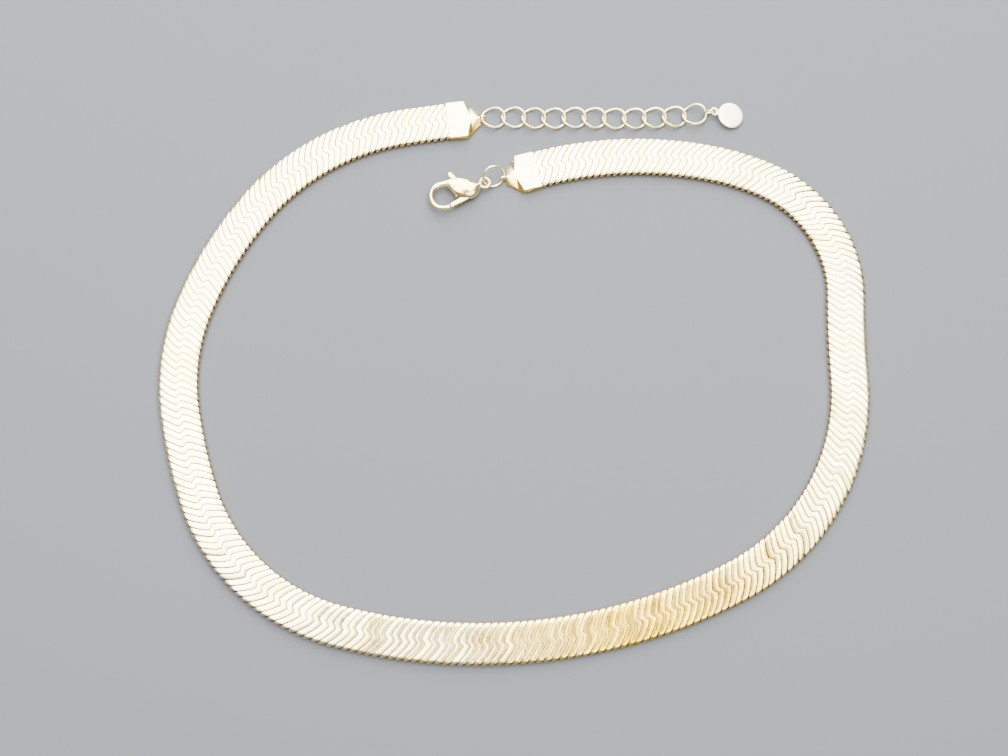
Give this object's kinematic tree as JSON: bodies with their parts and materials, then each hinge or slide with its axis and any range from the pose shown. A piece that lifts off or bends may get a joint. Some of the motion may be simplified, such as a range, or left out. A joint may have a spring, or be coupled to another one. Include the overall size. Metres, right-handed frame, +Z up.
{
  "type": "herringbone chain necklace",
  "caption": "Flat woven herringbone necklace with folded end caps, a lobster clasp on a jump ring and a curb-link extender that ends in a round tag.",
  "frame": {"origin": "middle of the necklace's box, on the surface that it lies on", "axes": "+Z up from the surface, +X to the right along the longest side of the box, +Y from the bottom of the loop towards the ends with the clasp"},
  "size_m": [0.174, 0.1411, 0.0043],
  "materials": {
    "band": "polished, worn plating",
    "cap": "polished, plated",
    "link": "polished, plated",
    "ring": "polished, plated",
    "tag": "polished, plated",
    "clasp": "polished, plated",
    "lever": "polished, plated"
  },
  "bodies": {
    "necklace": {"herringbone_band": "band", "tail_end_cap": "cap", "clasp_end_cap": "cap", "extender_link_1": "link", "extender_link_2": "link", "extender_link_3": "link", "extender_link_4": "link", "extender_link_5": "link", "extender_link_6": "link", "extender_link_7": "link", "extender_link_8": "link", "extender_link_9": "link", "extender_link_10": "link", "extender_link_11": "link", "tag_ring": "ring", "tag": "tag", "jump_ring": "ring", "clasp_body": "clasp"},
    "clasp_lever": {"clasp_lever": "lever"}
  },
  "joints": [
    {"name": "clasp_lever_hinge", "type": "hinge", "parent": "necklace", "child": "clasp_lever", "pos_m": [-0.01196, 0.04478, 0.0017], "axis": [0, 0, -1], "range_deg": [0, 25], "stiffness_Nm_per_rad": 0.01, "springref_deg": -20.05}
  ]
}
